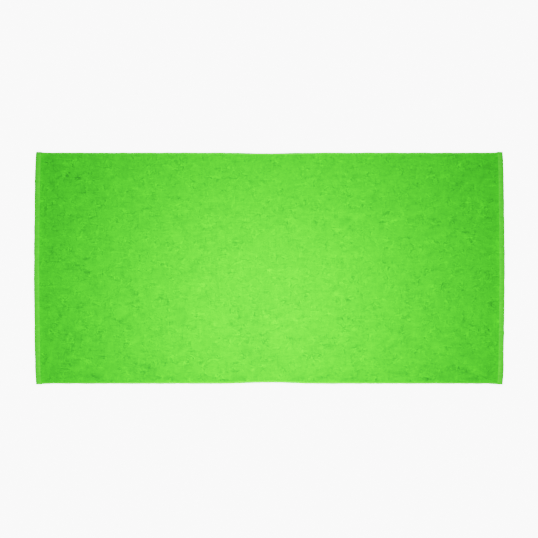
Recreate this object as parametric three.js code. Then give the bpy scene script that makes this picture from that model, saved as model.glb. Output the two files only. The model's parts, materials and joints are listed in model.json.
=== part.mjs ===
// Quick dry towel: one rectangle of terry cloth with turned and stitched hems, lying open and flat.
//
// Millimetres, +Z up. The towel's length runs along X and its width along Y, it lies on the plane z = 0
// and its middle is above the origin. -Y is the front long side and +Y the back one.
//
// The cloth is a plain ground weave that carries a sheared pile on its face and a looped pile on its
// reverse. It is cut across its middle only where it folds in half, so each half has its own solids.
// All four edges are hems: the flat ground weave, free of pile, is turned over twice and sewn down with
// a lockstitch row, a needle thread on top and a bobbin thread underneath.

import * as THREE from "three";

// Cloth
const LENGTH = 1524; // end to end, at the middle of the two ends
const WIDTH = 748; // side to side, away from the middle fold
const GROUND = 1.2; // thickness of the ground weave
const FACE_PILE = 1.3; // height of the sheared pile on top
const REVERSE_PILE = 1.3; // height of the looped pile underneath

// Outline: the ends stand out in their middle, and the middle fold has drawn the long sides in
const END_BOW = 3.3; // how far the middle of an end stands out past its quarters
const CORNER_TUCK = 3.7; // how much further the last stretch before a corner draws in
const TUCK_POWER = 12; // the higher, the closer to the corner that draw begins
const FRONT_WAIST = 4; // how far the fold draws in the front side
const BACK_WAIST = 2.4; // and the back side
const WAIST_REACH = 95; // distance from the fold at which little of the waist is left
const CORNER_EAR = 2; // how far an end hem stands out past the long sides

// Hems
const END_HEM = 18; // finished width of an end hem
const SIDE_HEM = 6; // finished width of a side hem
const HEM_PLY = 1.1; // one ply of the turned ground weave
const PLY_GAP = 0.3; // room between two plies

// Sewing
const THREAD = 0.6; // diameter of the sewing thread
const END_STITCH_INSET = 3; // stitch row's distance from an end hem's inner edge
const SIDE_STITCH_INSET = 2.4; // and from a side hem's inner edge
const STITCH_END_INSET = 2; // how far a row stops short of its hem's own ends

// Clearances
const SEAT_GAP = 0.3; // between pieces that lie against each other
const PILE_GAP = 0.1; // between the ground weave and the pile that grows from it
const FOLD_SLIT = 0.3; // between the two halves at the middle fold

// How finely the curved edges are drawn
const STEPS_ALONG_END = 24;
const STEPS_ALONG_SIDE = 10;
const FLAT_PAIRS_ROUND_PLY = 2;
const FLAT_PAIRS_ROUND_THREAD = 3;

const HALF_LENGTH = LENGTH / 2;
const HALF_WIDTH = WIDTH / 2;
const HEM_HEIGHT = 3 * HEM_PLY + 2 * PLY_GAP;
const HEM_BOTTOM = THREAD + SEAT_GAP; // the bobbin thread lies under the hem, level with the pile's underside
const WAISTS = { front: FRONT_WAIST, back: BACK_WAIST };
const FACING = { front: -1, back: 1 }; // the way each long side faces along Y
const TOWARDS = { left: -1, right: 1 }; // the way each half lies along X

const pileMaterial = () => new THREE.MeshStandardMaterial({ color: 0x6cd243, roughness: 0.95, metalness: 0 });
const groundMaterial = () => new THREE.MeshStandardMaterial({ color: 0x62c23e, roughness: 0.9, metalness: 0 });
const hemMaterial = () => new THREE.MeshStandardMaterial({ color: 0x66c94a, roughness: 0.85, metalness: 0 });
const threadMaterial = () => new THREE.MeshStandardMaterial({ color: 0x7ed85c, roughness: 0.6, metalness: 0 });

/** How far from the middle an end's outer edge lies at the distance y from the towel's centre line. */
function endEdge(y) {
  const t = Math.min(Math.abs(y) / HALF_WIDTH, 1);
  return HALF_LENGTH - (END_BOW * (1 - Math.cos(Math.PI * t))) / 2 - CORNER_TUCK * t ** TUCK_POWER;
}

/** How far from the centre line a long side's outer edge lies at the distance x from the middle fold. */
function sideEdge(x, side) {
  return HALF_WIDTH - WAISTS[side] * Math.exp(-((x / WAIST_REACH) ** 2));
}

/** Where the pile and its ground weave stop, short of an end hem and of a side hem. */
const clothEnd = (y) => endEdge(y) - END_HEM - SEAT_GAP;
const clothSide = (x, side) => sideEdge(x, side) - SIDE_HEM - SEAT_GAP;

/** Where the straight run of a side hem stops: at the end hem's inner edge, where it lies furthest in. */
const sideHemEnd = endEdge(HALF_WIDTH) - END_HEM - SEAT_GAP;

/** Evenly spaced numbers from first to last, both included. */
function spaced(first, last, steps) {
  return Array.from({ length: steps + 1 }, (_, i) => first + ((last - first) * i) / steps);
}

/** The outline of one half of the cloth inside its hems, seen from above. */
function clothOutline(half) {
  const corner = {};
  for (const side of ["front", "back"]) {
    corner[side] = clothSide(sideHemEnd, side);
  }
  const front = spaced(FOLD_SLIT / 2, sideHemEnd, STEPS_ALONG_SIDE).map((x) => [x, -clothSide(x, "front")]);
  const end = spaced(-corner.front, corner.back, STEPS_ALONG_END).map((y) => [clothEnd(y), y]);
  const back = spaced(sideHemEnd, FOLD_SLIT / 2, STEPS_ALONG_SIDE).map((x) => [x, clothSide(x, "back")]);
  const points = [...front, ...end, ...back].map(([x, y]) => new THREE.Vector2(TOWARDS[half] * x, y));
  return new THREE.Shape(points);
}

/** One layer of the cloth: the half's outline, from one height up by its thickness. */
function clothLayer(half, bottom, thickness) {
  const geometry = new THREE.ExtrudeGeometry(clothOutline(half), { depth: thickness, bevelEnabled: false });
  return geometry.translate(0, 0, bottom);
}

/**
 * Cross-section of a hem that is turned twice: a bottom ply, the outer turn, the top ply, the inner turn
 * and the raw edge tucked between them. Across runs from 0 at the inner edge to the hem's width.
 */
function hemSection(width) {
  const outerTurn = HEM_HEIGHT / 2;
  const innerTurn = HEM_PLY + PLY_GAP / 2;
  const foldAt = width - outerTurn;
  const rawEdge = foldAt - PLY_GAP;
  const middleOfInnerTurn = HEM_HEIGHT - innerTurn;
  const section = new THREE.Shape();
  section.moveTo(0, 0);
  section.lineTo(foldAt, 0);
  section.absarc(foldAt, outerTurn, outerTurn, -Math.PI / 2, Math.PI / 2, false);
  section.lineTo(innerTurn, HEM_HEIGHT);
  section.absarc(innerTurn, middleOfInnerTurn, innerTurn, Math.PI / 2, (3 * Math.PI) / 2, false);
  section.lineTo(rawEdge, HEM_PLY + PLY_GAP);
  section.lineTo(rawEdge, 2 * HEM_PLY + PLY_GAP);
  section.absarc(innerTurn, middleOfInnerTurn, PLY_GAP / 2, (3 * Math.PI) / 2, Math.PI / 2, true);
  section.absarc(foldAt, outerTurn, outerTurn - HEM_PLY, Math.PI / 2, -Math.PI / 2, true);
  section.lineTo(0, HEM_PLY);
  return section.getPoints(FLAT_PAIRS_ROUND_PLY);
}

/** Cross-section of a thread that lies with its middle at the given distance across and height. */
function threadSection(across, height) {
  const section = new THREE.Shape();
  section.absarc(across, height, THREAD / 2, 0, 2 * Math.PI, false);
  return section.getPoints(FLAT_PAIRS_ROUND_THREAD);
}

/** Runs a cross-section from one distance to another, then lays every point by place(across, height, along). */
function strip(sectionPoints, from, to, steps, place) {
  const section = new THREE.Shape(sectionPoints);
  const geometry = new THREE.ExtrudeGeometry(section, { depth: to - from, steps, bevelEnabled: false });
  const position = geometry.attributes.position;
  const point = new THREE.Vector3();
  for (let i = 0; i < position.count; i++) {
    point.fromBufferAttribute(position, i);
    place(point, point.x, point.y, point.z + from);
    position.setXYZ(i, point.x, point.y, point.z);
  }
  geometry.computeVertexNormals();
  return geometry;
}

/** A strip along an end. Its section's across runs outwards, so it is mirrored for the left end. */
function endStrip(half, sectionPoints, endInset) {
  const towards = TOWARDS[half];
  const reach = HALF_WIDTH + CORNER_EAR - endInset;
  const mirrored = sectionPoints.map((p) => new THREE.Vector2(towards * p.x, p.y));
  return strip(mirrored, -reach, reach, STEPS_ALONG_END, (point, across, height, along) => {
    point.set(towards * (endEdge(along) - END_HEM) + across, -along, HEM_BOTTOM + height);
  });
}

/** A strip along one half of a long side, from the middle fold to the end hem. */
function sideStrip(half, side, sectionPoints, endInset) {
  const facing = FACING[side];
  const mirrored = sectionPoints.map((p) => new THREE.Vector2(facing * p.x, p.y));
  const near = TOWARDS[half] * (FOLD_SLIT / 2);
  const far = TOWARDS[half] * (sideHemEnd - endInset);
  const [from, to] = [Math.min(near, far), Math.max(near, far)];
  return strip(mirrored, from, to, STEPS_ALONG_SIDE, (point, across, height, along) => {
    point.set(along, facing * (sideEdge(along, side) - SIDE_HEM) + across, HEM_BOTTOM + height);
  });
}

const towel = new THREE.Group();

function add(name, geometry, material) {
  const mesh = new THREE.Mesh(geometry, material);
  mesh.name = name;
  towel.add(mesh);
}

const groundBottom = REVERSE_PILE + PILE_GAP;
const facePileBottom = groundBottom + GROUND + PILE_GAP;
const needleHeight = HEM_HEIGHT + SEAT_GAP + THREAD / 2;
const bobbinHeight = -SEAT_GAP - THREAD / 2;

for (const half of ["left", "right"]) {
  add(`${half}_reverse_pile`, clothLayer(half, 0, REVERSE_PILE), pileMaterial());
  add(`${half}_ground_weave`, clothLayer(half, groundBottom, GROUND), groundMaterial());
  add(`${half}_face_pile`, clothLayer(half, facePileBottom, FACE_PILE), pileMaterial());

  add(`${half}_end_hem`, endStrip(half, hemSection(END_HEM), 0), hemMaterial());
  for (const [thread, height] of [["needle", needleHeight], ["bobbin", bobbinHeight]]) {
    const section = threadSection(END_STITCH_INSET, height);
    add(`${half}_end_${thread}_thread`, endStrip(half, section, STITCH_END_INSET), threadMaterial());
  }

  for (const side of ["front", "back"]) {
    add(`${half}_${side}_hem`, sideStrip(half, side, hemSection(SIDE_HEM), 0), hemMaterial());
    for (const [thread, height] of [["needle", needleHeight], ["bobbin", bobbinHeight]]) {
      const section = threadSection(SIDE_STITCH_INSET, height);
      const strand = sideStrip(half, side, section, STITCH_END_INSET);
      add(`${half}_${side}_${thread}_thread`, strand, threadMaterial());
    }
  }
}

export default towel;
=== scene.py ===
"""A quick dry towel of terry cloth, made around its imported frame.

Laid out as a Blender add-on: the sizes and colours are properties, each piece or group of like pieces has
an operator, and a panel in the sidebar lists them. Run as a script, it makes everything in order.
Metres, +Z up. The length runs along X, the width along Y, and -Y is the front.
"""

import json
import math

import bmesh
import bpy
import numpy as np
from bpy.props import FloatProperty, FloatVectorProperty, IntProperty, PointerProperty
from mathutils import Matrix, Vector, noise

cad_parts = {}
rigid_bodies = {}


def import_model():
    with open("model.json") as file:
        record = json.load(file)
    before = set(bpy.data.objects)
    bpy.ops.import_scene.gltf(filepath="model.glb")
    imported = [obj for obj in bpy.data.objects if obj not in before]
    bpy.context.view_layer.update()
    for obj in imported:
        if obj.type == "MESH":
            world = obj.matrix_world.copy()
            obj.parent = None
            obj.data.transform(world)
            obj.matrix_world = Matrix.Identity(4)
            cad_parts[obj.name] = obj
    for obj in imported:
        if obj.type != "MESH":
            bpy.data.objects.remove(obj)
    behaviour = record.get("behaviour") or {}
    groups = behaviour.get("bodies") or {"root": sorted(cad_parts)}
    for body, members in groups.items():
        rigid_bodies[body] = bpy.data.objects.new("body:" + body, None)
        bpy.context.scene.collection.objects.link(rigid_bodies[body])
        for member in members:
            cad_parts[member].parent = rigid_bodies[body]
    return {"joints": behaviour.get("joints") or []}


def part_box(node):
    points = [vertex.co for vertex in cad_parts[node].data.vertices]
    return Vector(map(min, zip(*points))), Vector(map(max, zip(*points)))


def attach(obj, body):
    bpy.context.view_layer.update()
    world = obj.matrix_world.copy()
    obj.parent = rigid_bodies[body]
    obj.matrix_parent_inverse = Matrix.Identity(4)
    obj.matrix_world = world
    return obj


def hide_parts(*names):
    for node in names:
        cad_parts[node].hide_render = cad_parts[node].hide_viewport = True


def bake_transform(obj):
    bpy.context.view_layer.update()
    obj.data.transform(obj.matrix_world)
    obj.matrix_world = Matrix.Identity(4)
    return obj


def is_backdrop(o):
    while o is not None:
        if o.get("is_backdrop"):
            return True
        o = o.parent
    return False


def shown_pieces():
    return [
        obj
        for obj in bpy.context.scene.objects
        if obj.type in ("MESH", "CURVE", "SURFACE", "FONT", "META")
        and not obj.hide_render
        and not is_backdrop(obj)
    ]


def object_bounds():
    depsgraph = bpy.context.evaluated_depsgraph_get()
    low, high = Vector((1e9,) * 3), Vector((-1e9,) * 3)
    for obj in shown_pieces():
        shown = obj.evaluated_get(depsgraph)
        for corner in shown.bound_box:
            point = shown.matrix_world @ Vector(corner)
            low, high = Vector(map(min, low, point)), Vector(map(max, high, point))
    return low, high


bl_info = {
    "name": "Quick Dry Towel",
    "version": (1, 0, 0),
    "blender": (4, 5, 0),
    "location": "3D View > Sidebar > Towel",
    "description": "Builds a hemmed terry towel around its frame",
    "category": "Object",
}

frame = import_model()
FRAME_LOW, FRAME_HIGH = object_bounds()
FOLD = next(joint for joint in frame["joints"] if joint["name"] == "fold_in_half")
LEFT, RIGHT = FOLD["parent"], FOLD["child"]
HALVES = {"left": (-1, LEFT), "right": (1, RIGHT)}
SIDES = {"front": -1, "back": 1}
MM = 0.001

# an edge that turns by more than this, such as the cloth's cut rim, isn't shaded as one smooth surface
SHARP = math.radians(60)

# How the shading of the pile and the hems is made up
NAP_AND_PAINTED_SHADE = 0.3  # how much lighter or darker the pile is painted on crease ridges and in crease valleys, where its nap stands fully up or lies flat: painted highlight and painted shade
WRINKLE_STRENGTH = 0.2  # how strongly the finest wrinkles raise the pile, and how much lighter and darker their two flanks are painted: painted light and shade
WRINKLE_LEVELS = (0.54, 0.46)  # the two contour lines of a noise that the wrinkles' flanks follow
WRINKLE_REACH = 0.055  # how far either side of its contour line a flank fades out

# How the towel is lit
DOME_GLOW = 0.35  # what the dome gives the towel
DOME_LOOKS = 3.9  # what the camera sees of it, to match the lit floor
LAMP_PLACE = (0, -0.165, 0.78)  # a little in front of the middle
LAMP_SIZE = 0.4
LAMP_WATTS = 11.5
FLOOR_WASH = 14.1
BACK_LIGHT = 0.35

# The camera looks straight down, and its middle is a little off the towel's
CAMERA_PLACE = (-1.1 * MM, -2.7 * MM)
VIEW_WIDTH = 1.7426

# A crease is (x, y, half length, angle, half width, strength, bow), in millimetres and degrees. A strength
# above 0 is a ridge whose nap stands up and which is painted lighter, a painted highlight; below 0 is a
# valley, painted darker, a painted shade. This broad one is the nap pressed flat where the towel was folded
# in half, towards its front, a shallow valley that is painted darker too.
PRESSED_LINE = (-35, -260, 265, 90, 70, -0.25, 0)


# Sizes and colours

def top_of(node):
    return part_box(node)[1].z


def linear(hex_colour):
    """An sRGB hex colour as linear red, green, blue and alpha."""
    parts = [int(hex_colour[i : i + 2], 16) / 255 for i in (1, 3, 5)]
    return (*(c / 12.92 if c <= 0.04045 else ((c + 0.055) / 1.055) ** 2.4 for c in parts), 1.0)


def size(name, description, default, **more):
    return FloatProperty(name=name, description=description, default=default, subtype="DISTANCE", **more)


def colour(name, description, hex_colour):
    return FloatVectorProperty(
        name=name, description=description, default=linear(hex_colour), size=4, subtype="COLOR", min=0, max=1
    )


class TowelSizes(bpy.types.PropertyGroup):
    length: size("Length", "End to end at the middle of the ends", FRAME_HIGH.x - FRAME_LOW.x)
    width: size("Width", "Between the long sides, away from the fold", 2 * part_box("right_back_hem")[1].y)
    thickness: size("Thickness", "Ground weave with the pile of both faces", top_of("right_face_pile"))
    end_bow: size("End bow", "How far the middle of an end stands out past its quarters", 3.3 * MM)
    corner_tuck: size("Corner tuck", "How much further an end draws in at a corner", 3.7 * MM)
    tuck_power: FloatProperty(name="Tuck power", description="How near the corner the tuck is", default=12)
    front_waist: size("Front waist", "How far the middle fold draws in the front side", 4 * MM)
    back_waist: size("Back waist", "How far the middle fold draws in the back side", 2.4 * MM)
    front_ear: size("Front ear", "How far the front corners stick out past the side", 2.4 * MM)
    back_ear: size("Back ear", "How far the back corners stick out past the side", 1.4 * MM)
    ear_reach: size("Ear reach", "Distance from an end at which the ear dies out", 32 * MM)
    waist_reach: size("Waist reach", "Distance from the fold at which the waist dies out", 95 * MM)
    end_hem: size("End hem", "Finished width of the hem across an end", 18 * MM)
    side_hem: size("Side hem", "Finished width of the hem along a side", 6 * MM)
    hem_bottom: size("Hem bottom", "Height of a hem's underside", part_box("right_end_hem")[0].z)
    hem_ply: size("Hem ply", "Thickness of one ply of a hem", 1.1 * MM)
    ply_gap: size("Ply gap", "Room between two plies of a hem", 0.3 * MM)
    hem_crown: size("Hem crown", "How much an end hem puffs up between its two edges", 1.3 * MM)
    hem_tuck: size("Cloth under hem", "How far the terry runs in under a hem's inner edge", 1.0 * MM)
    hem_slope: size("Slope beside hem", "How far the terry slopes down from an end hem's inner edge", 17 * MM)
    end_rise: size("Rise at end hem", "Lift of the terry where an end hem holds it", 1.2 * MM)
    side_rise: size("Rise at side hem", "Lift of the terry where a side hem holds it", 0.8 * MM)
    stitch: size("Stitch length", "From one needle hole to the next", 3.2 * MM)
    thread: size("Thread", "Diameter of the sewing thread", 0.6 * MM)
    end_inset: size("End stitch inset", "From an end hem's inner edge to its stitches", 3 * MM)
    side_inset: size("Side stitch inset", "From a side hem's inner edge to its stitches", 2.4 * MM)
    row_end: size("Row end", "How far a stitch row stops short of its hem's end", 2 * MM)
    loft: size("Loft", "How high the cloth lies above the floor on its own creases", 1.4 * MM)
    end_dip: size("End dip", "Distance from an end hem to the dip that runs along it", 22 * MM)
    waves: size("Waves", "Height of the broad unevenness of the cloth", 0.9 * MM)
    crumple: size("Crumple", "Height of the small creases that washing leaves", 0.55 * MM)
    crease: size("Crease", "Height of a crease of strength 1 as wide as 8 mm", 1.1 * MM)
    creases: IntProperty(name="Creases", description="How many larger creases lie about", default=80)
    corner_creases: IntProperty(name="Corner creases", description="How many point at each corner", default=8)
    gathers: IntProperty(name="Gathers", description="How many valleys lie along the front hem", default=11)
    crumples: IntProperty(name="Crumples", description="How many small creases there are", default=1500)
    seed: IntProperty(name="Seed", description="Which scattering of small creases is used", default=7)
    mesh_step: size("Mesh step", "Side of the cloth's mesh squares", 5.1 * MM)
    fold_step: size("Fold mesh step", "Side of the mesh squares where the cloth folds", 0.8 * MM)


class TowelColours(bpy.types.PropertyGroup):
    velour: colour("Velour", "Sheared pile on the face", "#4fce2a")
    loops: colour("Loops", "Looped pile on the reverse", "#58c836")
    hem: colour("Hem cloth", "Flat weave of the hems", "#62e03a")
    thread: colour("Thread", "Sewing thread", "#8cf06a")
    floor: colour("Floor", "Pale studio floor", "#e7e7e7")


def sizes():
    return bpy.context.scene.towel_sizes


def colours():
    return bpy.context.scene.towel_colours


# Outline of the towel, the same as its frame's

def end_edge(y):
    """How far from the middle an end's outer edge lies, at the distance y from the centre line."""
    s = sizes()
    t = np.minimum(np.abs(y) / (s.width / 2), 1)
    return s.length / 2 - s.end_bow * (1 - np.cos(np.pi * t)) / 2 - s.corner_tuck * t**s.tuck_power


def side_edge(x, side):
    """How far from the centre line a long side's outer edge lies, at the distance x from the middle fold."""
    s = sizes()
    waist = s.front_waist if side == "front" else s.back_waist
    ear = s.front_ear if side == "front" else s.back_ear
    drawn_in = waist * np.exp(-((x / s.waist_reach) ** 2))
    return s.width / 2 - drawn_in + ear * np.exp(-(((s.length / 2 - np.abs(x)) / s.ear_reach) ** 2))


def places_along(reach):
    """Places from -reach to reach, closer together at the middle fold."""
    s = sizes()
    half = [0.0]
    step = s.fold_step
    while half[-1] < reach:
        if half[-1] > 12 * MM:  # past the bend of the fold
            step = min(step * 1.25, s.mesh_step)
        half.append(half[-1] + step)
    half = np.array(half) * reach / half[-1]
    return np.concatenate([-half[:0:-1], half])


# Mesh and material tools

def grid(columns, rows):
    """A flat square mesh of (columns - 1) by (rows - 1) faces, and each vertex's column and row."""
    bm = bmesh.new()
    bmesh.ops.create_grid(bm, x_segments=columns - 1, y_segments=rows - 1, size=1)
    at = np.array([v.co for v in bm.verts])
    column = np.rint((at[:, 0] + 1) / 2 * (columns - 1)).astype(int)
    row = np.rint((at[:, 1] + 1) / 2 * (rows - 1)).astype(int)
    return bm, column, row


def place(bm, points):
    for v, p in zip(bm.verts, points):
        v.co = p


def keep_flat_map(bm, flat):
    """Gives the mesh a UV map of where each point lies on the flat cloth, in metres."""
    layer = bm.loops.layers.uv.new("flat_cloth")
    for face in bm.faces:
        for loop in face.loops:
            loop[layer].uv = flat[loop.vert.index]


# keeps the nap of each point, which also carries the painted highlight and shade of the creases
def keep_nap_and_shade(bm, nap):
    layer = bm.verts.layers.float.new("nap")
    for v, value in zip(bm.verts, nap):
        v[layer] = value


def finish_piece(bm, name, materials):
    mesh = bpy.data.meshes.new(name)
    for face in bm.faces:
        face.smooth = True
    for edge in bm.edges:
        edge.smooth = edge.calc_face_angle(0) < SHARP
    bm.to_mesh(mesh)
    bm.free()
    for material in materials:
        mesh.materials.append(material)
    piece = bpy.data.objects.new(name, mesh)
    bpy.context.collection.objects.link(piece)
    return piece


def add(tree, kind, inputs=(), **settings):
    """Adds a node, sets its settings, and links or sets its inputs."""
    node = tree.nodes.new(kind)
    for key, value in settings.items():
        setattr(node, key, value)
    for key, value in dict(inputs).items():
        if isinstance(value, bpy.types.NodeSocket):
            tree.links.new(value, node.inputs[key])
        else:
            node.inputs[key].default_value = value
    return node


def new_material(name):
    material = bpy.data.materials.new(name)
    material.use_nodes = True
    material.node_tree.nodes.clear()
    return material, material.node_tree


def shaded(colour_value, by):
    """A colour made lighter or darker by a factor."""
    return (*(min(c * by, 1) for c in colour_value[:3]), 1.0)


def uneven(tree, flat, layers):
    """Adds up noise about 0, from layers of (millimetres along, millimetres across, detail, contrast)."""
    total = None
    for along, across, detail, contrast in layers:
        per_feature = (1 / (along * MM), 1 / (across * MM), 1)
        spot = add(tree, "ShaderNodeMapping", {"Vector": flat, "Scale": per_feature})
        grain = add(
            tree, "ShaderNodeTexNoise",
            {"Vector": spot.outputs[0], "Scale": 1.0, "Detail": detail, "Roughness": 0.55},
        )
        centred = joined(tree, grain.outputs["Fac"], 0.5, "SUBTRACT")
        part = joined(tree, centred, contrast, "MULTIPLY")
        total = part if total is None else joined(tree, total, part)
    return total


def joined(tree, first, second, operation="ADD"):
    return add(tree, "ShaderNodeMath", {0: first, 1: second}, operation=operation).outputs[0]


def wrinkles(tree, flat, offset, along, across):
    """Fine wandering wrinkles, 1 on one flank and -1 on the other, along the contour lines of a noise; they
    raise the pile, and paint one flank lighter and the other darker, as painted light and shade.

    They run mostly along the larger of the two sizes, in millimetres, and a second noise breaks them up.
    """
    spot = add(
        tree, "ShaderNodeMapping",
        {"Vector": flat, "Location": (offset, offset, 0), "Scale": (1 / (along * MM), 1 / (across * MM), 1)},
    ).outputs[0]
    bent = add(tree, "ShaderNodeTexNoise", {"Vector": spot, "Scale": 1.0, "Detail": 1.0, "Distortion": 0.8})
    flanks = []
    for level in WRINKLE_LEVELS:
        away = joined(tree, joined(tree, bent.outputs["Fac"], level, "SUBTRACT"), 0.0, "ABSOLUTE")
        line = add(
            tree, "ShaderNodeMapRange",
            {"Value": away, "From Max": WRINKLE_REACH, "To Min": 1.0, "To Max": 0.0},
            interpolation_type="SMOOTHSTEP",
        )
        flanks.append(line.outputs[0])
    broken = add(tree, "ShaderNodeTexNoise", {"Vector": spot, "Scale": 1.3, "Detail": 1.0}).outputs["Fac"]
    kept = add(tree, "ShaderNodeMapRange", {"Value": broken, "From Min": 0.47, "From Max": 0.57})
    return joined(tree, joined(tree, *flanks, "SUBTRACT"), kept.outputs[0], "MULTIPLY")


def loops(tree, flat):
    """Rows of small loops, about 0 and highest in the middle of each loop."""
    # loops 2.4 mm apart, drawn coarser than the real 1.5 mm so that they show
    cells = add(
        tree, "ShaderNodeTexVoronoi", {"Vector": flat, "Scale": 1 / (2.4 * MM), "Randomness": 0.55}
    )
    return joined(tree, 0.4, cells.outputs["Distance"], "SUBTRACT")


def tufts(tree, flat):
    """The cut ends of a sheared pile, about 0."""
    # tufts 2.2 mm wide, drawn coarser than the real 1 mm so that they show
    return uneven(tree, flat, ((2.2, 2.2, 0.0, 0.5),))


def terry(name, base, contrast, sheen, pile):
    """Cotton terry: piled all over, so it is dull, softly mottled and a little lighter at a glance. Its
    colour carries painted shade between its tufts or loops and in crease valleys, and painted highlights on
    crease ridges and on one flank of each fine wrinkle.
    """
    material, tree = new_material(name)
    flat = add(tree, "ShaderNodeUVMap", uv_map="flat_cloth").outputs["UV"]
    # the nap leans in patches a few centimetres wide, and rows of weft and warp show as faint streaks
    nap = uneven(tree, flat, ((60, 60, 2.0, 0.3), (24, 24, 2.0, 0.35), (38, 8, 1.0, 0.25), (8, 30, 1.0, 0.2)))
    # tufts stand in clumps, more ruffled in some places, 45 mm wide, than in others, and the colour is
    # painted darker where the clumps are low: painted shade between them
    clumps_and_shade = uneven(tree, flat, ((11, 11, 2.0, 0.45), (5, 5, 1.0, 0.4)))
    patch = add(tree, "ShaderNodeTexNoise", {"Vector": flat, "Scale": 1 / (45 * MM), "Detail": 1.0})
    ruffled = add(
        tree, "ShaderNodeMapRange",
        {"Value": patch.outputs["Fac"], "From Min": 0.35, "From Max": 0.65, "To Min": 0.5, "To Max": 1.5},
    ).outputs[0]
    # the pile's tufts or loops are added in, so the colour is painted darker between them too: painted shade
    clumps_and_shade = joined(tree, joined(tree, clumps_and_shade, ruffled, "MULTIPLY"), pile(tree, flat))
    lengthwise, crosswise = wrinkles(tree, flat, 0.0, 44, 17), wrinkles(tree, flat, 3.0, 20, 30)
    wrinkle_and_shade = joined(tree, joined(tree, lengthwise, crosswise), ruffled, "MULTIPLY")
    # the nap stands up on a ridge and is pressed flat in a valley, and this attribute paints each crease
    # lighter on its ridge and darker in its valley: painted highlight and painted shade
    crease = add(tree, "ShaderNodeAttribute", attribute_name="nap").outputs["Fac"]
    wrinkle_and_shade = joined(tree, wrinkle_and_shade, WRINKLE_STRENGTH, "MULTIPLY")
    # the wrinkles' two flanks are painted lighter and darker into the colour here: painted light and shade
    shade = joined(tree, joined(tree, nap, clumps_and_shade), wrinkle_and_shade)
    shade = joined(tree, shade, contrast, "MULTIPLY")
    shade = joined(tree, shade, joined(tree, crease, NAP_AND_PAINTED_SHADE, "MULTIPLY"))
    lightness = joined(tree, shade, 1.0)
    tint = add(tree, "ShaderNodeVectorMath", {0: base[:3], "Scale": lightness}, operation="SCALE")
    height = joined(tree, clumps_and_shade, wrinkle_and_shade)
    tuft_bump = add(tree, "ShaderNodeBump", {"Strength": 1.0, "Distance": 1.1 * MM, "Height": height})
    shader = add(
        tree, "ShaderNodeBsdfPrincipled",
        {
            "Base Color": tint.outputs[0],
            "Roughness": 1.0,
            "Specular IOR Level": 0.0,
            "Sheen Weight": sheen,
            "Sheen Roughness": 1.0,
            "Sheen Tint": (1.0, 1.0, 1.0, 1.0),
            "Normal": tuft_bump.outputs[0],
        },
    )
    add(tree, "ShaderNodeOutputMaterial", {"Surface": shader.outputs[0]})
    return material


def plain_weave(name, base):
    """Flat cotton weave of the hems: two threads over and under, with no pile, so it is smoother."""
    material, tree = new_material(name)
    flat = add(tree, "ShaderNodeUVMap", uv_map="flat_cloth").outputs["UV"]
    # threads 1.6 mm apart, drawn coarser than the real 0.5 mm so that they show
    # the magic texture repeats five times over 2 pi
    weave = add(
        tree, "ShaderNodeTexMagic",
        {"Vector": flat, "Scale": 2 * math.pi / (1.6 * MM * 5), "Distortion": 0.0},
    )
    # it ripples across its width, where the stitches gather it, and the ripples are painted into the colour
    # too, lighter on their crests and darker in their hollows: painted light and shade
    ripples_and_shade = uneven(tree, flat, ((30, 8, 1.0, 0.3), (9, 5, 2.0, 0.35), (6, 22, 1.0, 0.5)))
    lightness = joined(tree, ripples_and_shade, 1.0)
    tint = add(tree, "ShaderNodeVectorMath", {0: base[:3], "Scale": lightness}, operation="SCALE")
    pucker_bump = add(tree, "ShaderNodeBump", {"Strength": 1.0, "Distance": 1.2 * MM, "Height": ripples_and_shade})
    threads = add(
        tree, "ShaderNodeBump",
        {
            "Strength": 0.5,
            "Distance": 0.2 * MM,
            "Height": weave.outputs["Fac"],
            "Normal": pucker_bump.outputs[0],
        },
    )
    shader = add(
        tree, "ShaderNodeBsdfPrincipled",
        {
            "Base Color": tint.outputs[0],
            "Roughness": 0.85,
            "Specular IOR Level": 0.25,
            "Sheen Weight": 0.06,
            "Sheen Roughness": 1.0,
            "Sheen Tint": (1.0, 1.0, 1.0, 1.0),
            "Normal": threads.outputs[0],
        },
    )
    add(tree, "ShaderNodeOutputMaterial", {"Surface": shader.outputs[0]})
    return material


def spun_thread(name, base):
    """Spun polyester sewing thread: two plies twisted together, with a soft shine."""
    material, tree = new_material(name)
    place_in = add(tree, "ShaderNodeTexCoord")
    twist = add(
        tree, "ShaderNodeTexWave",
        {"Vector": place_in.outputs["Object"], "Scale": 1 / (1.2 * MM) / 20, "Distortion": 1.0},
        wave_type="BANDS", bands_direction="DIAGONAL",
    )
    tint = add(
        tree, "ShaderNodeMix", {"Factor": twist.outputs["Fac"], 6: shaded(base, 0.85), 7: shaded(base, 1.05)},
        data_type="RGBA",
    )
    shader = add(
        tree, "ShaderNodeBsdfPrincipled",
        {"Base Color": tint.outputs[2], "Roughness": 0.55, "Specular IOR Level": 0.4, "Sheen Weight": 0.1},
    )
    add(tree, "ShaderNodeOutputMaterial", {"Surface": shader.outputs[0]})
    return material


def get_material(key):
    """The towel's materials, each made the first time that it is asked for."""
    c = colours()
    makers = {
        "cotton_velour_pile": lambda: terry("cotton_velour_pile", tuple(c.velour), 1.0, 0.07, tufts),
        "cotton_looped_pile": lambda: terry("cotton_looped_pile", tuple(c.loops), 0.8, 0.03, loops),
        "cotton_plain_weave": lambda: plain_weave("cotton_plain_weave", tuple(c.hem)),
        "spun_polyester_thread": lambda: spun_thread("spun_polyester_thread", tuple(c.thread)),
    }
    return bpy.data.materials.get(key) or makers[key]()


# The cloth

def rough(x, y, length, seed):
    """Smooth noise from about -1 to 1 with features of the given length."""
    return np.array([noise.noise(Vector((a / length, b / length, seed))) for a, b in zip(x, y)])


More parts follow.
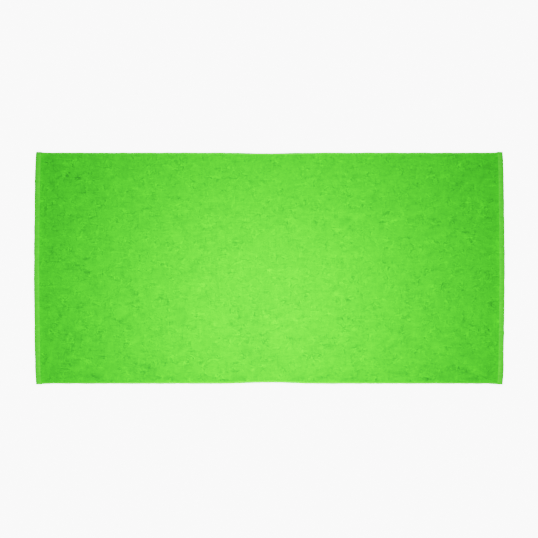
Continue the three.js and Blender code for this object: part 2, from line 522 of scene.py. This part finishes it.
def creased(x, y, creases):
    """Adds up creases of the given strengths, each fading out towards its ends and its sides."""
    field = np.zeros(len(x))
    for crease in creases:
        at_x, at_y, half, turn, wide, strength, bow = crease
        angle = math.radians(turn)
        dx, dy = x / MM - at_x, y / MM - at_y
        near = (np.abs(dx) < half + 3 * wide) & (np.abs(dy) < half + 3 * wide)
        dx, dy = dx[near], dy[near]
        along = (dx * math.cos(angle) + dy * math.sin(angle)) / half
        aside = dy * math.cos(angle) - dx * math.sin(angle) + bow * along**2
        fade = np.clip(1 - along**2, 0, 1) ** 1.5
        field[near] += strength * fade * np.exp(-((aside / wide) ** 2))
    return field


def larger_creases():
    """The pressed line, then creases about the cloth and at its corners, and gathers at its front hem."""
    s = sizes()
    pick = np.random.default_rng(s.seed + 1)
    half_length, half_width = s.length / 2 / MM, s.width / 2 / MM
    creases = [PRESSED_LINE]

    def crease(x, y, turn, strength):
        creases.append((x, y, pick.uniform(16, 45), turn, pick.uniform(4, 8), strength, pick.normal(0, 3)))

    for _ in range(s.creases):
        x, y = pick.uniform(-0.92, 0.92, 2) * (half_length, half_width)
        crease(x, y, pick.normal(0, 30), pick.choice([-1, 1]) * pick.uniform(0.4, 0.9))
    for end in (-1, 1):
        for side in (-1, 1):
            for _ in range(s.corner_creases):
                away, turn = pick.uniform(60, 240), math.radians(pick.normal(45, 22))
                x = end * (half_length - away * math.cos(turn))
                y = side * (half_width - away * abs(math.sin(turn)))
                crease(x, y, end * side * math.degrees(turn), pick.choice([-1, 1]) * pick.uniform(0.5, 1.0))
    # the front hem's stitches gather the cloth beside it into shallow bows
    for x in np.linspace(-0.7, 0.88, s.gathers) * half_length:
        y = pick.normal(20, 5) - half_width
        reach, strength = pick.uniform(20, 75), -pick.uniform(0.6, 1.1)
        x, turn, bow = x + pick.normal(0, 20), pick.normal(0, 12), pick.uniform(2, 12)
        creases.append((x, y, reach, turn, 6.5, strength, bow))
    return creases


def scattered_creases():
    """Small creases at random places, in the shape of the larger ones above."""
    s = sizes()
    pick = np.random.default_rng(s.seed)
    count = s.crumples
    places = pick.uniform(-0.5, 0.5, (count, 2)) * (s.length / MM, s.width / MM)
    # most of them run roughly along the length or the width
    turns = pick.choice([0, 90, 45], count, p=[0.5, 0.3, 0.2]) + pick.normal(0, 22, count)
    strengths = pick.choice([-1, 1], count) * pick.uniform(0.25, 0.8, count)
    halves, widths = pick.uniform(14, 38, count), pick.uniform(4.5, 7.5, count)
    return zip(*places.T, halves, turns, widths, strengths, pick.normal(0, 4, count))


def lie_of_cloth(x, y, from_ends):
    """How far each point is lifted off the floor, and how its nap stands, from -1 to 1, which also paints
    each crease lighter on its ridge and darker in its valley: painted highlight and painted shade.
    """
    s = sizes()
    pressed, small = creased(x, y, larger_creases()), creased(x, y, scattered_creases())
    lift = s.loft + s.waves * (rough(x, y, 0.21, 3.1) + 0.5 * rough(x, y, 0.075, 7.7))
    dip = np.exp(-(((from_ends - s.end_dip) / s.end_dip) ** 2)) * (0.75 + 0.8 * rough(x, y, 0.12, 5.2))
    lift -= s.loft * dip
    lift += s.crease * pressed + s.crumple * small
    # where several creases cross, the nap, with the painted highlight and shade that it carries, can't lean
    # further than flat or stand further than upright
    nap = 0.85 * np.tanh(1.15 * (pressed + 0.35 * small))
    highest = 2.6 * s.loft
    return np.clip(lift, 0, highest), nap


class TOWEL_OT_cloth(bpy.types.Operator):
    """Make the terry cloth inside the hems, as one sheet across the middle fold"""

    bl_idname = "towel.cloth"
    bl_label = "Terry Cloth"

    def execute(self, context):
        s = sizes()
        reach = s.length / 2 - s.end_hem + s.hem_tuck
        along = places_along(reach)
        across = np.linspace(-1, 1, 2 * round((s.width / 2) / s.mesh_step) + 1)
        bm, column, row = grid(len(along), len(across))
        share = along[column] / reach
        side_share = across[row]
        y0 = side_share * (s.width / 2 - s.side_hem + s.hem_tuck)
        x = share * (end_edge(y0) - s.end_hem + s.hem_tuck)
        half_width = np.where(side_share < 0, side_edge(x, "front"), side_edge(x, "back"))
        y = side_share * (half_width - s.side_hem + s.hem_tuck)
        from_ends = (1 - np.abs(share)) * reach
        lift, nap = lie_of_cloth(x, y, from_ends)
        # the hems hold the edges at their own height, and the cloth slopes down from them
        from_sides = (1 - np.abs(side_share)) * s.width / 2
        lift = held_at(lift, s.side_rise, from_sides / (s.hem_slope / 2))
        lift = held_at(lift, s.end_rise, from_ends / s.hem_slope)
        # where it bends down from an end hem, its nap opens and it is painted lighter: a painted highlight on
        # that slope
        nap += 0.5 * np.exp(-((from_ends / (s.hem_slope / 2)) ** 2))
        place(bm, np.stack([x, y, s.thickness + lift], axis=1))
        keep_flat_map(bm, np.stack([x, y], axis=1))
        keep_nap_and_shade(bm, nap)
        bm.normal_update()
        bmesh.ops.solidify(bm, geom=bm.faces[:], thickness=s.thickness)
        bm.normal_update()
        for face in bm.faces:
            face.material_index = 1 if face.normal.z < -0.3 else 0
        materials = [get_material("cotton_velour_pile"), get_material("cotton_looped_pile")]
        cloth = finish_piece(bm, "terry_cloth", materials)
        layers = ("reverse_pile", "ground_weave", "face_pile")
        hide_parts(*(f"{half}_{layer}" for half in HALVES for layer in layers))
        blend_over_fold(cloth)
        return {"FINISHED"}


def held_at(lift, rise, share):
    """Brings a lift smoothly to the rise of the edge, where the share of the way from it is 0."""
    free = (1 - np.cos(np.pi * np.clip(share, 0, 1))) / 2
    return rise + (lift - rise) * free


def blend_over_fold(piece):
    """Bakes a piece's transform into its mesh."""
    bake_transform(piece)


# Hems

def turned_path(width):
    """The inner face of a hem that is turned twice, as (across, height) points from its inner edge."""
    s = sizes()
    height = 3 * s.hem_ply + 2 * s.ply_gap
    outer, inner = height / 2, s.hem_ply + s.ply_gap / 2
    fold_at = width - outer
    flat_steps = max(3, round(width / (2.5 * MM)))
    points = [(a, s.hem_ply) for a in np.linspace(0, fold_at, flat_steps)]
    radius = outer - s.hem_ply
    for turn in np.linspace(-90, 90, 9)[1:-1]:
        angle = math.radians(turn)
        points.append((fold_at + radius * math.cos(angle), outer + radius * math.sin(angle)))
    points += [(a, height - s.hem_ply) for a in np.linspace(fold_at, inner, 3 * flat_steps)]
    radius = inner - s.hem_ply
    for turn in np.linspace(90, 270, 7)[1:-1]:
        angle = math.radians(turn)
        points.append((inner + radius * math.cos(angle), height - inner + radius * math.sin(angle)))
    points += [(a, 2 * s.hem_ply + s.ply_gap) for a in np.linspace(inner, fold_at - s.ply_gap, flat_steps)]
    return np.array(points)


def hem_puff(across, width, inset):
    """How much the top of a hem stands above flat: a soft crown, drawn down where it is stitched."""
    s = sizes()
    # its inner edge already stands at a tenth of the way up the arch
    t = np.clip((across / width + 0.1) / 1.1, 0, 1)
    crown = s.hem_crown * min(1, width / s.end_hem) * np.sin(np.pi * t)
    return crown - 0.2 * s.hem_ply * np.exp(-(((across - inset) / (1.2 * MM)) ** 2))


def pucker(along, seed):
    """Small unevenness along a sewn edge, from -1 to 1."""
    return np.array([noise.noise(Vector((a / 0.024, seed, 0.5))) for a in np.atleast_1d(along)])


def turned_hem(name, width, inset, along, seed, lay):
    """A strip of flat cloth turned over twice along an edge. lay(along, across, height) places its points."""
    s = sizes()
    path = turned_path(width)
    bm, column, row = grid(len(along), len(path))
    a, (across, height) = along[column], path[row].T
    middle = (3 * s.hem_ply + 2 * s.ply_gap) / 2
    top = np.clip((height - middle) / (middle - s.hem_ply), 0, 1)
    wave = pucker(along, seed)[column]
    height = height + top * hem_puff(across, width, inset) * (1 + 0.5 * wave)
    across = across + 0.9 * MM * wave * across / width
    place(bm, lay(a, across, s.hem_bottom + height))
    lengths = np.concatenate([[0], np.cumsum(np.linalg.norm(np.diff(path, axis=0), axis=1))])
    keep_flat_map(bm, np.stack([a, lengths[row]], axis=1))
    bm.normal_update()
    bm.faces.ensure_lookup_table()
    if bm.faces[0].normal.z < 0:
        bmesh.ops.reverse_faces(bm, faces=bm.faces[:])
        bm.normal_update()
    bmesh.ops.solidify(bm, geom=bm.faces[:], thickness=s.hem_ply)
    bmesh.ops.recalc_face_normals(bm, faces=bm.faces[:])
    return finish_piece(bm, name, [get_material("cotton_plain_weave")])


def end_lay(towards):
    def lay(along, across, height):
        s = sizes()
        return np.stack([towards * (end_edge(along) - s.end_hem + across), along, height], axis=1)
    return lay


def side_lay(side):
    facing = SIDES[side]
    def lay(along, across, height):
        s = sizes()
        return np.stack([along, facing * (side_edge(along, side) - s.side_hem + across), height], axis=1)
    return lay


class TOWEL_OT_end_hems(bpy.types.Operator):
    """Turn and place the hem across each end"""

    bl_idname = "towel.end_hems"
    bl_label = "End Hems"

    def execute(self, context):
        s = sizes()
        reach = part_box("right_end_hem")[1].y
        along = np.linspace(-reach, reach, 2 * round(reach / (4 * MM)) + 1)
        for seed, (half, (towards, body)) in enumerate(HALVES.items()):
            hem = turned_hem(f"{half}_turned_hem", s.end_hem, s.end_inset, along, seed, end_lay(towards))
            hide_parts(f"{half}_end_hem")
            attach(hem, body)
        return {"FINISHED"}


class TOWEL_OT_side_hems(bpy.types.Operator):
    """Turn and place the narrow hem along each side"""

    bl_idname = "towel.side_hems"
    bl_label = "Side Hems"

    def execute(self, context):
        s = sizes()
        along = places_along(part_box("right_front_hem")[1].x)
        for seed, side in enumerate(SIDES):
            hem = turned_hem(f"{side}_turned_hem", s.side_hem, s.side_inset, along, 10 + seed, side_lay(side))
            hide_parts(f"left_{side}_hem", f"right_{side}_hem")
            blend_over_fold(hem)
        return {"FINISHED"}


# Sewing

def stitch_row(name, middles, directions):
    """One lockstitch row: a short slightly sunk length of thread from each needle hole to the next."""
    s = sizes()
    bm = bmesh.new()
    for middle, direction in zip(middles, directions):
        turn = Vector(direction).to_track_quat("X", "Z").to_matrix().to_4x4()
        # a stitch reaches just past the middle of each needle hole
        shape = Matrix.Diagonal((s.stitch * 0.52, s.thread / 2, s.thread / 2, 1))
        bmesh.ops.create_icosphere(
            bm, subdivisions=1, radius=1, matrix=Matrix.Translation(middle) @ turn @ shape
        )
    return finish_piece(bm, name, [get_material("spun_polyester_thread")])


def row_along(reach, inset, width, lay, top):
    """Middles and directions of the stitches of one row, over or under a hem."""
    s = sizes()
    off_hem = 0.2 * MM  # a thread's middle lies less than its radius off the hem, so it is a little sunk
    count = round(2 * (reach - s.row_end) / s.stitch)
    ends = np.linspace(-reach + s.row_end, reach - s.row_end, count + 1)
    stack = 3 * s.hem_ply + 2 * s.ply_gap
    height = stack + hem_puff(np.array([inset]), width, inset)[0] + off_hem if top else -off_hem
    height += s.hem_bottom
    points = lay(ends, np.full(len(ends), inset), np.full(len(ends), height))
    return (points[1:] + points[:-1]) / 2, points[1:] - points[:-1]


class TOWEL_OT_stitches(bpy.types.Operator):
    """Sew every hem with a lockstitch row, needle thread on top and bobbin thread underneath"""

    bl_idname = "towel.stitches"
    bl_label = "Stitches"

    def execute(self, context):
        s = sizes()
        end_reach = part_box("right_end_hem")[1].y
        side_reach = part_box("right_front_hem")[1].x
        for thread, top in (("needle", True), ("bobbin", False)):
            for half, (towards, body) in HALVES.items():
                middles, directions = row_along(end_reach, s.end_inset, s.end_hem, end_lay(towards), top)
                row = stitch_row(f"{half}_{thread}_stitches", middles, directions)
                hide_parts(f"{half}_end_{thread}_thread")
                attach(row, body)
            for side in SIDES:
                middles, directions = row_along(side_reach, s.side_inset, s.side_hem, side_lay(side), top)
                row = stitch_row(f"{side}_{thread}_stitches", middles, directions)
                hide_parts(f"left_{side}_{thread}_thread", f"right_{side}_{thread}_thread")
                blend_over_fold(row)
        return {"FINISHED"}


# Studio

class TOWEL_OT_stage(bpy.types.Operator):
    """Set up the pale floor, the soft lights and the camera above"""

    bl_idname = "towel.stage"
    bl_label = "Stage"

    def execute(self, context):
        scene = context.scene
        scene.view_settings.view_transform = "Filmic"
        scene.view_settings.look = "High Contrast"
        pieces = bpy.data.collections.new("towel_pieces")
        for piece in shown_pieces():
            pieces.objects.link(piece)

        bm = bmesh.new()
        bmesh.ops.create_grid(bm, x_segments=1, y_segments=1, size=30)
        mesh = bpy.data.meshes.new("studio_floor")
        bm.to_mesh(mesh)
        bm.free()
        material, tree = new_material("matte_white_paper")
        shader = add(
            tree, "ShaderNodeBsdfPrincipled",
            {"Base Color": tuple(colours().floor), "Roughness": 0.9, "Specular IOR Level": 0.0},
        )
        add(tree, "ShaderNodeOutputMaterial", {"Surface": shader.outputs[0]})
        mesh.materials.append(material)
        floor = bpy.data.objects.new("studio_floor", mesh)
        context.collection.objects.link(floor)
        floor.location.z = -0.5 * MM
        floor.visible_diffuse = False
        floor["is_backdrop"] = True

        # the dome gives little light, but looks as pale as the floor
        world = bpy.data.worlds.new("studio_dome")
        world.use_nodes = True
        tree = world.node_tree
        tree.nodes.clear()
        seen = add(tree, "ShaderNodeLightPath").outputs["Is Camera Ray"]
        glow, looks = [
            add(tree, "ShaderNodeBackground", {"Color": (1, 1, 1, 1), "Strength": strength}).outputs[0]
            for strength in (DOME_GLOW, DOME_LOOKS)
        ]
        dome = add(tree, "ShaderNodeMixShader", {"Fac": seen, 1: glow, 2: looks})
        add(tree, "ShaderNodeOutputWorld", {"Surface": dome.outputs[0]})
        scene.world = world

        lamp = bpy.data.lights.new("soft_lamp", "AREA")
        lamp.shape = "DISK"
        lamp.size = LAMP_SIZE
        lamp.energy = LAMP_WATTS
        lamp_object = bpy.data.objects.new("soft_lamp", lamp)
        lamp_object.location = LAMP_PLACE
        lamp_object.visible_camera = False
        lamp_object.light_linking.receiver_collection = pieces
        context.collection.objects.link(lamp_object)

        paper = bpy.data.collections.new("paper_only")
        paper.objects.link(floor)
        wash = bpy.data.lights.new("floor_wash", "SUN")
        wash.energy = FLOOR_WASH
        wash.angle = math.radians(120)
        wash_object = bpy.data.objects.new("floor_wash", wash)
        wash_object.light_linking.receiver_collection = paper
        context.collection.objects.link(wash_object)

        rim = bpy.data.lights.new("low_back_light", "SUN")
        rim.energy = BACK_LIGHT
        rim.angle = math.radians(15)
        rim_object = bpy.data.objects.new("low_back_light", rim)
        rim_object.rotation_euler = (math.radians(-65), 0, 0)
        rim_object.light_linking.receiver_collection = pieces
        context.collection.objects.link(rim_object)

        camera = bpy.data.cameras.new("camera")
        camera.lens = 100
        camera.sensor_width = 36
        eye = bpy.data.objects.new("camera", camera)
        eye.location = (*CAMERA_PLACE, VIEW_WIDTH * camera.lens / camera.sensor_width)
        camera.clip_end = 100
        context.collection.objects.link(eye)
        scene.camera = eye
        return {"FINISHED"}


class TOWEL_PT_panel(bpy.types.Panel):
    """Sizes, colours and the steps that make the towel"""

    bl_idname = "TOWEL_PT_panel"
    bl_label = "Quick Dry Towel"
    bl_space_type = "VIEW_3D"
    bl_region_type = "UI"
    bl_category = "Towel"

    def draw(self, context):
        for group in (sizes(), colours()):
            box = self.layout.box()
            for key in group.__annotations__:
                box.prop(group, key)
        for operator in STEPS:
            self.layout.operator(operator.bl_idname)


STEPS = (TOWEL_OT_cloth, TOWEL_OT_end_hems, TOWEL_OT_side_hems, TOWEL_OT_stitches, TOWEL_OT_stage)
CLASSES = (TowelSizes, TowelColours, *STEPS, TOWEL_PT_panel)


def register():
    for cls in CLASSES:
        bpy.utils.register_class(cls)
    bpy.types.Scene.towel_sizes = PointerProperty(type=TowelSizes)
    bpy.types.Scene.towel_colours = PointerProperty(type=TowelColours)


def unregister():
    del bpy.types.Scene.towel_colours
    del bpy.types.Scene.towel_sizes
    for cls in reversed(CLASSES):
        bpy.utils.unregister_class(cls)


def main():
    register()
    bpy.ops.towel.cloth()
    bpy.ops.towel.end_hems()
    bpy.ops.towel.side_hems()
    bpy.ops.towel.stitches()
    bpy.ops.towel.stage()


if __name__ == "__main__":
    main()
